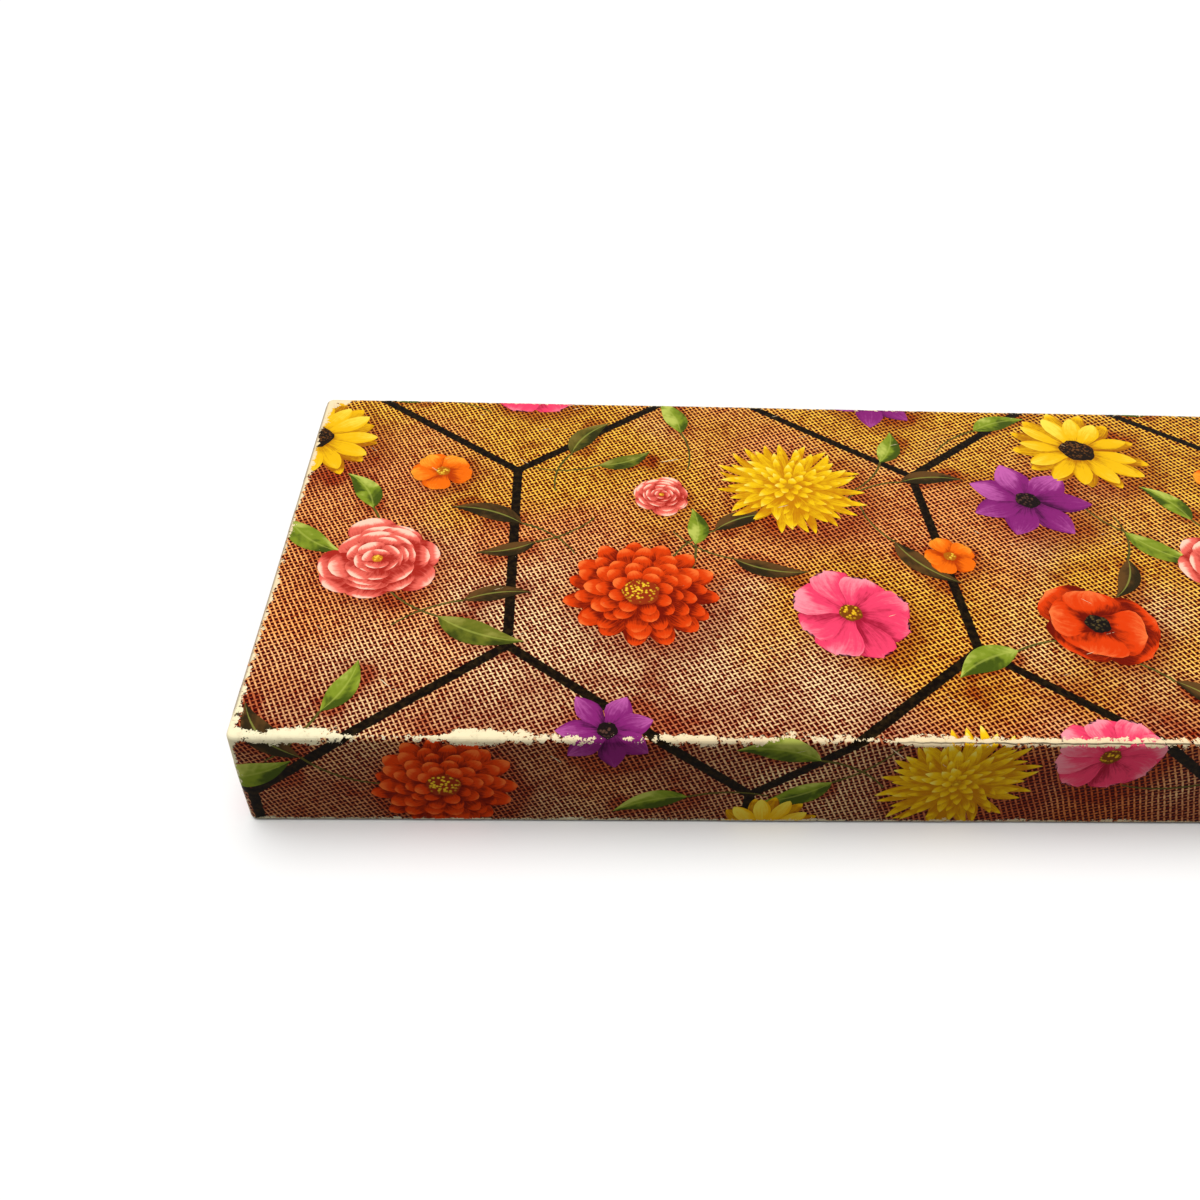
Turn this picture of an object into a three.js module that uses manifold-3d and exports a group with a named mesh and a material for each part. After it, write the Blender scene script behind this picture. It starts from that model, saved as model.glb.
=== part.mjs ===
// A covered box for papers and keepsakes: a shallow chipboard tray under a lid of full depth.
// Millimetres, +Z up. The origin is the middle of the underside, where the box stands.
import * as THREE from 'three';
import Module from 'manifold-3d';

const wasm = await Module();
wasm.setup();

// Outside of the lid
const lidLength = 305;
const lidWidth = 140;
const lidHeight = 30.5;
const cornerRadius = 2.2;
const foldRadius = 1.2;
// How far the lid's rim stops above the table
const rimGap = 0.4;

// Sheet stock
const boardThickness = 1.2;
const coverPaper = 0.2;
const liningPaper = 0.15;
const stayPaper = 0.12;
const glueLine = 0.05;

// How the tray fits the lid
const slipClearance = 0.9;
const seatGap = 0.05;

// Covering paper, lining and corner stays
const hemWidth = 14;
const turnUnder = 12;
const rimRadius = 0.35;
const liningShort = 4;
const baseSheetMargin = 1.5;
const stayLeg = 11;
const stayMargin = 1.5;
const slitWidth = 0.3;

// Smallest bend radii of a sheet and of a sheet's corner
const leastBend = 0.08;
const leastCorner = 0.5;
// How far a cutter runs past what it cuts
const overrun = 2;
const cornerSteps = 5;
const bendSteps = 4;

// The wall, sheet by sheet from outside in, as insets from the outer face
const boardInset = coverPaper + glueLine + stayPaper + glueLine;
const boardInnerInset = boardInset + boardThickness;
const hemInset = boardInnerInset + glueLine;
const hemFaceInset = hemInset + coverPaper;
const liningInset = hemFaceInset + glueLine;
const wallStack = liningInset + liningPaper;

// A pan is a closed face with four walls. Depth counts from the closed face towards the rim,
// and dir is the way that it runs along Z.
function makePan(length, width, corner, height, boardDepth, closedZ, dir) {
  const liningDepth = boardDepth + boardThickness + glueLine;
  return {
    halfLength: length / 2,
    halfWidth: width / 2,
    corner,
    height,
    boardDepth,
    liningDepth,
    floorDepth: liningDepth + liningPaper,
    zAt: (depth) => closedZ + dir * depth,
  };
}

const lidTop = rimGap + lidHeight;
const lid = makePan(lidLength, lidWidth, cornerRadius, lidHeight, coverPaper + glueLine, lidTop, -1);
const trayInset = wallStack + slipClearance;
const trayLength = lidLength - 2 * trayInset;
const trayWidth = lidWidth - 2 * trayInset;
const trayHeight = lidTop - lid.floorDepth - seatGap;
const turnUnderDepth = coverPaper + glueLine;
const trayBoardDepth = turnUnderDepth + coverPaper + glueLine;
const tray = makePan(trayLength, trayWidth, cornerRadius, trayHeight, trayBoardDepth, 0, 1);

// One turn round the pan at an inset and a depth, anticlockwise seen from above.
function outlineAt(pan, inset, depth) {
  const radius = Math.max(pan.corner - inset, leastCorner);
  const reachX = pan.halfLength - inset - radius;
  const reachY = pan.halfWidth - inset - radius;
  const signs = [[1, 1], [-1, 1], [-1, -1], [1, -1]];
  const points = [];
  signs.forEach(([signX, signY], quarter) => {
    for (let step = 0; step <= cornerSteps; step += 1) {
      const angle = (quarter + step / cornerSteps) * (Math.PI / 2);
      points.push(new THREE.Vector3(
        signX * reachX + radius * Math.cos(angle),
        signY * reachY + radius * Math.sin(angle),
        pan.zAt(depth),
      ));
    }
  });
  return points;
}

// Sweeps a profile of [inset, depth] points round the pan. A closed profile makes a band,
// and an open one is shut by a flat face at each end.
function sweepBody(pan, profile, closed) {
  const rings = profile.map(([inset, depth]) => outlineAt(pan, inset, depth));
  const count = rings[0].length;
  const vertices = rings.flat();
  const triangles = [];
  const spans = closed ? rings.length : rings.length - 1;
  for (let span = 0; span < spans; span += 1) {
    const here = span * count;
    const there = ((span + 1) % rings.length) * count;
    for (let side = 0; side < count; side += 1) {
      const after = (side + 1) % count;
      triangles.push([here + side, here + after, there + after]);
      triangles.push([here + side, there + after, there + side]);
    }
  }
  if (!closed) {
    [0, rings.length - 1].forEach((end) => {
      const middle = vertices.length;
      vertices.push(new THREE.Vector3(0, 0, rings[end][0].z));
      for (let side = 0; side < count; side += 1) {
        const pair = [end * count + (side + 1) % count, end * count + side];
        triangles.push([middle, ...(end === 0 ? pair : pair.reverse())]);
      }
    });
  }
  return facingOut(vertices, triangles);
}

// Turns all triangles over if the body is inside out.
function facingOut(vertices, triangles) {
  let volume = 0;
  triangles.forEach(([first, second, third]) => {
    const cross = new THREE.Vector3().crossVectors(vertices[second], vertices[third]);
    volume += vertices[first].dot(cross);
  });
  const index = triangles.flatMap((corners) => (volume < 0 ? [...corners].reverse() : corners));
  const geometry = new THREE.BufferGeometry().setFromPoints(vertices);
  geometry.setIndex(index);
  return geometry;
}

// Points of a quarter bend round a centre, from one direction to the next.
// Direction 0 points inwards, 1 towards the rim, 2 outwards and 3 towards the closed face.
function bend(inset, depth, radius, from, to) {
  const points = [];
  for (let step = 0; step <= bendSteps; step += 1) {
    const angle = (from + (to - from) * (step / bendSteps)) * (Math.PI / 2);
    points.push([inset + radius * Math.cos(angle), depth + radius * Math.sin(angle)]);
  }
  return points;
}

// The bend of a sheet's inner or outer side round one centre.
function sideRadius(outer, thickness) {
  return Math.max(outer - thickness, leastBend);
}

// Chipboard blank: one scored panel whose walls fold up, with an open slit at each corner.
function boardBody(pan) {
  const rim = pan.height - coverPaper - glueLine;
  const radius = sideRadius(foldRadius, coverPaper + glueLine);
  const profile = [
    ...bend(boardInset + radius, pan.boardDepth + radius, radius, 3, 2),
    [boardInset, rim],
    [boardInnerInset, rim],
    [boardInnerInset, pan.boardDepth + boardThickness],
  ];
  let solid = toManifold(sweepBody(pan, profile, false));
  const start = pan.boardDepth + boardThickness;
  const slitDepth = rim - start + overrun;
  [[1, 1], [-1, 1], [-1, -1], [1, -1]].forEach(([signX, signY]) => {
    const slit = new THREE.BoxGeometry(boardThickness * 2 + overrun, slitWidth, slitDepth);
    slit.rotateZ(signX * signY * (Math.PI / 4));
    slit.translate(
      signX * (pan.halfLength - (boardInset + boardInnerInset) / 2),
      signY * (pan.halfWidth - (boardInset + boardInnerInset) / 2),
      (pan.zAt(start) + pan.zAt(start + slitDepth)) / 2,
    );
    solid = solid.subtract(toManifold(slit));
  });
  return fromManifold(solid);
}

function toManifold(geometry) {
  const positions = geometry.getAttribute('position');
  const order = geometry.getIndex().array;
  const places = new Map();
  const vertices = [];
  const triangles = [];
  order.forEach((corner) => {
    const place = [positions.getX(corner), positions.getY(corner), positions.getZ(corner)];
    const key = place.join(' ');
    if (!places.has(key)) {
      places.set(key, places.size);
      vertices.push(...place);
    }
    triangles.push(places.get(key));
  });
  return new wasm.Manifold(new wasm.Mesh({
    numProp: 3,
    vertProperties: new Float32Array(vertices),
    triVerts: new Uint32Array(triangles),
  }));
}

function fromManifold(solid) {
  const mesh = solid.getMesh();
  const geometry = new THREE.BufferGeometry();
  geometry.setAttribute('position', new THREE.BufferAttribute(new Float32Array(mesh.vertProperties), 3));
  geometry.setIndex(Array.from(mesh.triVerts));
  return geometry;
}

// Covering paper over the closed face and the walls, folded round the rim to a hem inside.
function lidCoverBody(pan) {
  const outer = foldRadius;
  const inner = sideRadius(foldRadius, coverPaper);
  return sweepBody(pan, [
    ...bend(outer, outer, outer, 3, 2),
    ...rimFold(pan, 1),
    ...rimFold(pan, -1),
    ...bend(coverPaper + inner, coverPaper + inner, inner, 2, 3),
  ], false);
}

// Covering strip round the walls, turned under the base and folded round the rim to a hem.
function trayCoverBody(pan) {
  const low = turnUnderDepth;
  const inner = sideRadius(foldRadius, coverPaper);
  return sweepBody(pan, [
    [turnUnder, low],
    ...bend(foldRadius, low + foldRadius, foldRadius, 3, 2),
    ...rimFold(pan, 1),
    ...rimFold(pan, -1),
    ...bend(coverPaper + inner, low + coverPaper + inner, inner, 2, 3),
    [turnUnder, low + coverPaper],
  ], true);
}

// One side of the paper where it folds round the rim: the face that shows for side 1,
// and the glued face, in the other order, for side -1.
function rimFold(pan, side) {
  const inner = sideRadius(rimRadius, coverPaper);
  const hemEnd = pan.height - hemWidth;
  if (side > 0) {
    const low = pan.height - rimRadius;
    return [
      ...bend(rimRadius, low, rimRadius, 2, 1),
      ...bend(hemFaceInset - rimRadius, low, rimRadius, 1, 0),
      [hemFaceInset, hemEnd],
    ];
  }
  const low = pan.height - coverPaper - inner;
  return [
    [hemInset, hemEnd],
    ...bend(hemInset - inner, low, inner, 0, 1),
    ...bend(coverPaper + inner, low, inner, 1, 2),
  ];
}

// Lining paper over the floor and up the walls, stopping short of the rim over the hem.
function liningBody(pan) {
  const outer = foldRadius;
  const inner = sideRadius(foldRadius, liningPaper);
  const edge = pan.height - liningShort;
  return sweepBody(pan, [
    ...bend(liningInset + outer, pan.liningDepth + outer, outer, 3, 2),
    [liningInset, edge],
    [wallStack, edge],
    ...bend(wallStack + inner, pan.floorDepth + inner, inner, 2, 3),
  ], false);
}

// Flat sheet under the tray that hides the turned-under edges.
function baseSheetBody(pan) {
  return sweepBody(pan, [[baseSheetMargin, 0], [baseSheetMargin, coverPaper]], false);
}

// Gummed paper bent round one corner of the board, outside it and under the covering paper.
function stayBody(pan) {
  const inner = pan.corner - coverPaper - glueLine - stayPaper;
  const outer = inner + stayPaper;
  const shape = new THREE.Shape();
  shape.moveTo(outer, -stayLeg);
  shape.lineTo(outer, 0);
  shape.absarc(0, 0, outer, 0, Math.PI / 2, false);
  shape.lineTo(-stayLeg, outer);
  shape.lineTo(-stayLeg, inner);
  shape.absarc(0, 0, inner, Math.PI / 2, 0, true);
  shape.lineTo(inner, -stayLeg);
  const start = pan.boardDepth + foldRadius + stayMargin;
  const end = pan.height - coverPaper - glueLine - stayMargin;
  const options = { depth: end - start, bevelEnabled: false, curveSegments: cornerSteps * 2 };
  const body = new THREE.ExtrudeGeometry(shape, options);
  body.translate(0, 0, Math.min(pan.zAt(start), pan.zAt(end)));
  return body;
}

const paint = (color, roughness) => new THREE.MeshStandardMaterial({
  color,
  roughness,
  metalness: 0,
  flatShading: true,
});
const printedPaper = paint(0xa8622c, 0.32);
const plainPaper = paint(0xe9dfc8, 0.7);
const liningStock = paint(0xefe9dc, 0.8);
const greyBoard = paint(0x8f867a, 0.9);
const gummedPaper = paint(0xb58a57, 0.75);

function addPiece(group, name, geometry, material) {
  const mesh = new THREE.Mesh(geometry, material);
  mesh.name = name;
  group.add(mesh);
  return mesh;
}

function addStays(group, pan, prefix) {
  const corners = [
    ['back_right', 1, 1, 0],
    ['back_left', -1, 1, 1],
    ['front_left', -1, -1, 2],
    ['front_right', 1, -1, 3],
  ];
  corners.forEach(([place, signX, signY, quarters]) => {
    const stay = addPiece(group, `${prefix}_corner_stay_${place}`, stayBody(pan), gummedPaper);
    stay.rotation.z = quarters * (Math.PI / 2);
    stay.position.set(
      signX * (pan.halfLength - pan.corner),
      signY * (pan.halfWidth - pan.corner),
      0,
    );
  });
}

const box = new THREE.Group();

const trayGroup = new THREE.Group();
addPiece(trayGroup, 'tray_board', boardBody(tray), greyBoard);
addStays(trayGroup, tray, 'tray');
addPiece(trayGroup, 'tray_wrap', trayCoverBody(tray), plainPaper);
addPiece(trayGroup, 'tray_base_sheet', baseSheetBody(tray), plainPaper);
addPiece(trayGroup, 'tray_lining', liningBody(tray), liningStock);
box.add(trayGroup);

const lidGroup = new THREE.Group();
addPiece(lidGroup, 'lid_board', boardBody(lid), greyBoard);
addStays(lidGroup, lid, 'lid');
addPiece(lidGroup, 'lid_wrap', lidCoverBody(lid), printedPaper);
addPiece(lidGroup, 'lid_lining', liningBody(lid), liningStock);
box.add(lidGroup);

export default box;
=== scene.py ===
import math
import bmesh
import bpy
import numpy as np
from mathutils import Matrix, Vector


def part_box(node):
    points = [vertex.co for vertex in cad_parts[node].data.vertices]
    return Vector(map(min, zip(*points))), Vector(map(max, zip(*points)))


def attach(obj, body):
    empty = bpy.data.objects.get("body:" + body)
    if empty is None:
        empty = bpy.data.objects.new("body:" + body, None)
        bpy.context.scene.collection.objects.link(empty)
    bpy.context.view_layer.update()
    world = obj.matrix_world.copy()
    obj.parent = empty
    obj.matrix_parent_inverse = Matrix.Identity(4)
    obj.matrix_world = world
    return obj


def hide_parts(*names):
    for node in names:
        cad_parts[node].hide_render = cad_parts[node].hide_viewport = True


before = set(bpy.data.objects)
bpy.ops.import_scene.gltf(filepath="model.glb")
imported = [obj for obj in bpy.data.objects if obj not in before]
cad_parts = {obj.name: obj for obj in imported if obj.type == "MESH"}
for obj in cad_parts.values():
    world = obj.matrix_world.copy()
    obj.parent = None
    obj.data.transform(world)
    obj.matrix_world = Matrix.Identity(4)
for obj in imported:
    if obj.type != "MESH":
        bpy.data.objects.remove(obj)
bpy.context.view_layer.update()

# The camera is held by hand before the left half of the box, near enough that the front wall
# shows as a low band and the right end runs out of the picture.
lid_low, lid_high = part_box("lid_wrap")
camera_from_corner = (0.0745, -0.1557, 0.1881)
camera_turn = (47.13, -2.02, -1.15)
camera_lens = 32.06
sensor_side = 36.0
clip_start = 0.01


def placed(name, data):
    """A new object, put into the scene."""
    made = bpy.data.objects.new(name, data)
    bpy.context.scene.collection.objects.link(made)
    return made


camera = placed("camera", bpy.data.cameras.new("camera"))
camera.data.lens = camera_lens
camera.data.sensor_width = sensor_side
camera.data.clip_start = clip_start
camera.location = (
    lid_low.x + camera_from_corner[0],
    lid_low.y + camera_from_corner[1],
    lid_high.z + camera_from_corner[2],
)
camera.rotation_euler = [math.radians(turn) for turn in camera_turn]
bpy.context.scene.camera = camera

# The studio is a plain white sweep under a soft lamp overhead. Rays that only carry light meet
# a duller floor and sky, so that little of it comes back up onto the walls of the box.
floor_reach = 4.0
floor_drop = 0.0001
floor_seen = (0.95, 0.95, 0.94)
floor_met = (0.26, 0.255, 0.25)
floor_rough = 0.9
sky_white = (1.0, 1.0, 1.0)
sky_met = 0.27
lamp_spread = 50
lamp_turn = (-5, -9, 0)
lamp_power = 2.75


class Wire:
    """One socket of a node tree. Arithmetic on wires adds the nodes that work it out."""

    def __init__(self, tree, socket=None):
        self.tree = tree
        self.socket = socket

    def node(self, kind, settings=None, inputs=None, output=0):
        made = self.tree.nodes.new("ShaderNode" + kind)
        for name, value in (settings or {}).items():
            setattr(made, name, value)
        for name, value in (inputs or {}).items():
            if isinstance(value, Wire):
                self.tree.links.new(value.socket, made.inputs[name])
            else:
                made.inputs[name].default_value = value
        return Wire(self.tree, made.outputs[output])

    def math(self, operation, *values):
        return self.node("Math", {"operation": operation}, dict(enumerate(values)))

    def vector(self, operation, *values):
        return self.node("VectorMath", {"operation": operation}, dict(enumerate(values)))

    def mix(self, factor, first, second, blend="MIX"):
        """Two colours mixed, each a wire or three numbers, through the node's colour sockets."""
        settings = {"data_type": "RGBA", "blend_type": blend}
        first = first if isinstance(first, Wire) else (*first, 1)
        second = second if isinstance(second, Wire) else (*second, 1)
        return self.node("Mix", settings, {0: factor, 6: first, 7: second}, 2)

    def noise(self, place, scale, detail=2.0, roughness=0.5, output=0):
        inputs = {"Vector": place, "Scale": scale, "Detail": detail, "Roughness": roughness}
        return self.node("TexNoise", None, inputs, output)

    def attribute(self, name, output="Vector"):
        return self.node("Attribute", {"attribute_name": name}, None, output)

    def between(self, low, high):
        """0 below low, 1 above high, and smooth in between."""
        settings = {"interpolation_type": "SMOOTHSTEP"}
        return self.node("MapRange", settings, {"Value": self, "From Min": low, "From Max": high})

    def axis(self, name):
        return self.node("SeparateXYZ", None, {0: self}, name)

    def __add__(self, other):
        return self.math("ADD", self, other)

    def __radd__(self, other):
        return self.math("ADD", other, self)

    def __sub__(self, other):
        return self.math("SUBTRACT", self, other)

    def __rsub__(self, other):
        return self.math("SUBTRACT", other, self)

    def __mul__(self, other):
        return self.math("MULTIPLY", self, other)

    def __rmul__(self, other):
        return self.math("MULTIPLY", other, self)

    def __truediv__(self, other):
        return self.math("DIVIDE", self, other)

    def __neg__(self):
        return self.math("MULTIPLY", self, -1)

    def __abs__(self):
        return self.math("ABSOLUTE", self)


def material_named(name, specular):
    """A new material, a wire on its tree, and its Principled shader."""
    material = bpy.data.materials.new(name)
    material.use_nodes = True
    shader = material.node_tree.nodes["Principled BSDF"]
    shader.inputs["Specular IOR Level"].default_value = specular
    return material, Wire(material.node_tree), shader


def shown_to_eye(wire):
    """1 for rays that show the backdrop: the camera's, and those through glass or off gloss."""
    camera_ray = wire.node("LightPath", None, None, "Is Camera Ray")
    glossy_ray = wire.node("LightPath", None, None, "Is Glossy Ray")
    clear_ray = wire.node("LightPath", None, None, "Is Transmission Ray")
    return wire.math("MAXIMUM", wire.math("MAXIMUM", camera_ray, glossy_ray), clear_ray)


def build_studio():
    mesh = bpy.data.meshes.new("floor")
    corners = [(-1, -1), (1, -1), (1, 1), (-1, 1)]
    places = [(x * floor_reach, y * floor_reach, -floor_drop) for x, y in corners]
    mesh.from_pydata(places, [], [(0, 1, 2, 3)])
    floor = placed("floor", mesh)
    material, wire, shader = material_named("pale_floor", 0.0)
    color = wire.mix(shown_to_eye(wire), floor_met, floor_seen)
    wire.tree.links.new(color.socket, shader.inputs["Base Color"])
    shader.inputs["Roughness"].default_value = floor_rough
    mesh.materials.append(material)

    world = bpy.data.worlds.new("pale_world")
    world.use_nodes = True
    wire = Wire(world.node_tree)
    background = world.node_tree.nodes["Background"]
    strength = sky_met + shown_to_eye(wire) * (1 - sky_met)
    world.node_tree.links.new(strength.socket, background.inputs["Strength"])
    background.inputs["Color"].default_value = (*sky_white, 1)
    bpy.context.scene.world = world

    lamp = placed("lamp", bpy.data.lights.new("lamp", "SUN"))
    lamp.data.angle = math.radians(lamp_spread)
    lamp.data.energy = lamp_power
    lamp.rotation_euler = [math.radians(turn) for turn in lamp_turn]


build_studio()
bpy.context.scene.view_settings.view_transform = "Standard"

# The tray and the lid are each folded from one blank of grey chipboard, scored at the folds
# and slit at the corners. The board is pressed from waste pulp and shows flecks and fibres.
board_grey = (0.27, 0.235, 0.19)
board_light = (0.40, 0.36, 0.30)
board_fleck = (0.10, 0.085, 0.07)
board_grain = (1.0, 4.0, 4.0)
board_cloud_scale = 90.0
board_fibre_scale = 700.0
board_fleck_scale = 1500.0
board_rough = 0.8
board_relief = 0.00008


def finish_with(wire, shader, color, roughness, height, depth):
    """Joins colour, roughness and relief to a Principled shader."""
    relief = wire.node("Bump", None, {"Strength": 1.0, "Distance": depth, "Height": height})
    for name, value in (("Base Color", color), ("Roughness", roughness), ("Normal", relief)):
        wire.tree.links.new(value.socket, shader.inputs[name])


def board_finish():
    material, wire, shader = material_named("grey_chipboard", 0.2)
    place = wire.node("TexCoord", None, None, "Object")
    cloud = wire.noise(place, board_cloud_scale, 4.0)
    drawn_out = place.vector("MULTIPLY", place, board_grain)
    fibre = wire.noise(drawn_out, board_fibre_scale, 3.0, 0.6)
    fleck = wire.noise(place, board_fleck_scale, 1.0).between(0.66, 0.74)
    color = wire.mix(cloud * 0.5 + fibre * 0.5, board_grey, board_light)
    color = wire.mix(fleck * 0.6, color, board_fleck)
    finish_with(wire, shader, color, board_rough + fibre * 0.15, fibre, board_relief)
    return material


def dress(node, material):
    """Gives a CAD node its finish."""
    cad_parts[node].material_slots[0].material = material


chipboard = board_finish()
for board in ("tray_board", "lid_board"):
    dress(board, chipboard)

# Strips of gummed brown paper, wetted and pressed round the outside of each folded corner,
# hold the walls together before the covering paper goes on.
kraft_brown = (0.36, 0.22, 0.11)
kraft_dark = (0.25, 0.145, 0.07)
kraft_grain = (1.0, 1.0, 6.0)
kraft_fibre_scale = 500.0
kraft_blotch_scale = 150.0
kraft_rough = 0.45
kraft_relief = 0.00005


def gummed_finish():
    material, wire, shader = material_named("gummed_kraft", 0.3)
    place = wire.node("TexCoord", None, None, "Object")
    drawn_out = place.vector("MULTIPLY", place, kraft_grain)
    fibre = wire.noise(drawn_out, kraft_fibre_scale, 3.0, 0.6)
    blotch = wire.noise(place, kraft_blotch_scale, 2.0)
    color = wire.mix(fibre * 0.7 + blotch * 0.3, kraft_dark, kraft_brown)
    finish_with(wire, shader, color, kraft_rough + fibre * 0.3, fibre, kraft_relief)
    return material


gummed_kraft = gummed_finish()
for body in ("tray", "lid"):
    for corner_place in ("front_left", "front_right", "back_left", "back_right"):
        dress(f"{body}_corner_stay_{corner_place}", gummed_kraft)

# The tray is covered in plain cream paper, a strip round its walls that is turned under the
# base and over the rim, and a flat sheet below. It has yellowed, and rubs brown at the edges.
cover_cream = (0.88, 0.72, 0.44)
cover_pale = (0.94, 0.82, 0.57)
cover_rubbed = (0.55, 0.38, 0.20)
foxing_brown = (0.45, 0.27, 0.12)
corner_spared = 0.0004
worn_range = (0.0010, 0.0026)
worn_ragged = 0.002
paper_cloud_scale = 45.0
paper_fibre_scale = 900.0
paper_grain_scale = 2200.0
foxing_scale = 620.0
worn_scale = 420.0
paper_rough = 0.62
paper_relief = 0.00004
tray_low, tray_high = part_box("tray_wrap")


def plain_paper_finish(name, pale, toned, rubbed, wrap_high, worn_heights):
    """Uncoated paper, toned by age and rubbed at some heights and at the upright corners."""
    material, wire, shader = material_named(name, 0.25)
    place = wire.node("TexCoord", None, None, "Object")
    cloud = wire.noise(place, paper_cloud_scale, 3.0)
    fibre = wire.noise(place, paper_fibre_scale, 3.0, 0.65)
    spots = wire.noise(place, foxing_scale, 2.0).between(0.70, 0.76)
    color = wire.mix(cloud.between(0.25, 0.85), pale, toned)
    color = wire.mix(fibre.between(0.35, 0.8) * 0.25, color, toned)
    color = wire.mix(spots * 0.30, color, foxing_brown)
    to_end = wrap_high.x - abs(place.axis("X"))
    to_side = wrap_high.y - abs(place.axis("Y"))
    near = wire.math("MAXIMUM", to_end, to_side) + corner_spared
    for height in worn_heights:
        near = wire.math("MINIMUM", near, abs(place.axis("Z") - height))
    near = near + wire.noise(place, worn_scale, 3.0) * worn_ragged
    worn = 1 - near.between(*worn_range)
    color = wire.mix(worn * 0.65, color, rubbed)
    grain = wire.noise(place, paper_grain_scale, 2.0)
    finish_with(wire, shader, color, paper_rough + fibre * 0.2, grain + fibre, paper_relief)
    return material


plain_cover = plain_paper_finish(
    "cream_cover", cover_pale, cover_cream, cover_rubbed, tray_high, (tray_low.z, tray_high.z)
)
for sheet in ("tray_wrap", "tray_base_sheet"):
    dress(sheet, plain_cover)

# Both halves are lined with off-white paper, pasted over the bottom and up the walls so that
# it covers the raw edge of the turned-in hem.
lining_white = (0.84, 0.80, 0.70)
lining_toned = (0.76, 0.69, 0.55)
lining_edge = (0.60, 0.50, 0.35)

for lining, wrap in (("tray_lining", "tray_wrap"), ("lid_lining", "lid_wrap")):
    wrap_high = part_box(wrap)[1]
    dress(lining, plain_paper_finish(
        f"{lining}_paper", lining_white, lining_toned, lining_edge, wrap_high, (wrap_high.z,)
    ))

# The lid is covered in one sheet of varnished printed paper. It lies flat on the panel, folds
# down over the four walls, and turns in over the rim to a hem. The long flaps carry tabs
# round the corners, and the end flaps are pasted over the tabs.
half_length = lid_high.x
half_width = lid_high.y
lid_top = lid_high.z
lid_drop = lid_high.z - lid_low.z
corner_radius = 0.0022
hem_corner = 0.0005
fold_radius = 0.0012
rim_radius = 0.00035
wall_thickness = 0.00187
hem_width = 0.014
tab_width = 0.011
tab_sink = 0.00014
tab_ease = 0.0006
wave_height = 0.00022
broad_wave = (0.041, 0.027)
short_wave = (0.017, 0.021)
lip_wave = 0.033
lip_ripple = (0.012, 0.015)
sheet_pitch = 0.00125
hem_pitch = 3 * sheet_pitch
bend_rows = 4
corner_steps = 6
weld = 0.0000002
quarter = math.pi / 2

fold_run = fold_radius * quarter
wall_run = lid_drop - fold_radius - rim_radius
rim_run = rim_radius * quarter
base_run = wall_thickness - 2 * rim_radius
hem_run = hem_width - rim_radius
fold_middle = fold_run / 2
flat_end = half_length - fold_radius
flat_side = half_width - fold_radius
run_to_rim = fold_run + wall_run
straight_inset = corner_radius - fold_radius
panel_rows = np.concatenate([[-straight_inset], np.linspace(0, fold_middle, bend_rows)])[:, None]

long_sides = ("front", "back")
side_ways = {
    "front": np.array([(1.0, 0.0), (0.0, -1.0)]),
    "back": np.array([(1.0, 0.0), (0.0, 1.0)]),
    "left": np.array([(0.0, 1.0), (-1.0, 0.0)]),
    "right": np.array([(0.0, 1.0), (1.0, 0.0)]),
}


def fold_profile(run):
    """Inset, depth and tilt of the sheet at a run outwards from the edge of the flat panel."""
    fold = np.clip(run, 0, fold_run) / fold_radius
    wall = np.clip(run - fold_run, 0, wall_run)
    past = run - run_to_rim
    first = np.clip(past, 0, rim_run) / rim_radius
    base = np.clip(past - rim_run, 0, base_run)
    second = np.clip(past - rim_run - base_run, 0, rim_run) / rim_radius
    hem = np.clip(past - 2 * rim_run - base_run, 0, hem_run)
    inset = fold_radius * (1 - np.sin(fold)) - np.minimum(run, 0)
    inset = inset + rim_radius * (1 - np.cos(first) + np.sin(second)) + base
    depth = fold_radius * (1 - np.cos(fold)) + wall
    depth = depth + rim_radius * (np.sin(first) - 1 + np.cos(second)) - hem
    return inset, depth, fold + first + second


def handled(points):
    """Points of the lid with the slight waves that the card has taken on."""
    x, y, z = np.moveaxis(points, -1, 0)
    swell = 0.3 + 0.45 * np.sin(x / broad_wave[0] + 0.6) * np.sin(y / broad_wave[1] + 1.1)
    swell = swell + 0.25 * np.sin(x / short_wave[0] - y / short_wave[1])
    lip = np.sin(x / lip_wave + 2.0) * 0.6 + np.sin(x / lip_ripple[0] + y / lip_ripple[1]) * 0.4
    high = np.clip((z - lid_low.z) / lid_drop, 0, 1)
    bow = np.sin(high * math.pi) * 0.7 + 0.3 * lip
    moved = points.copy()
    moved[..., 0] += wave_height * bow * np.sign(x) * (np.abs(x) / half_length) ** 16
    moved[..., 1] += wave_height * bow * np.sign(y) * (np.abs(y) / half_width) ** 12
    moved[..., 2] += wave_height * swell * high ** 4
    return moved


def on_side(side, along, run, lift=0.0):
    """Points of the covered lid, from the place along one side and the run over its fold."""
    along, run = np.broadcast_arrays(along, run)
    along_way, out_way = side_ways[side]
    half, reach = (half_length, half_width) if side in long_sides else (half_width, half_length)
    inset, depth, tilt = fold_profile(run)
    least = np.where(tilt > quarter * 1.5, hem_corner, 0)
    radius = np.maximum(corner_radius - inset, least)
    straight = half - corner_radius
    beyond = np.abs(along) - straight
    turn = np.clip(beyond / corner_radius, 0, quarter)
    tab = np.maximum(beyond - corner_radius * quarter, 0)
    share = np.minimum(np.abs(along), straight) / straight
    ahead = np.sign(along) * (share * (half - inset - radius) + radius * np.sin(turn))
    out = reach - inset - radius + radius * np.cos(turn) - tab
    plan = ahead[..., None] * along_way + out[..., None] * out_way
    facing = (np.sign(along) * np.sin(turn))[..., None] * along_way
    facing = (facing + np.cos(turn)[..., None] * out_way) * np.sin(tilt)[..., None]
    normal = np.concatenate([facing, np.cos(tilt)[..., None]], -1)
    points = np.concatenate([plan, (lid_top - depth)[..., None]], -1)
    sunk = lift - tab_sink * np.clip(tab / tab_ease, 0, 1)
    return handled(points) + normal * sunk[..., None], normal


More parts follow.
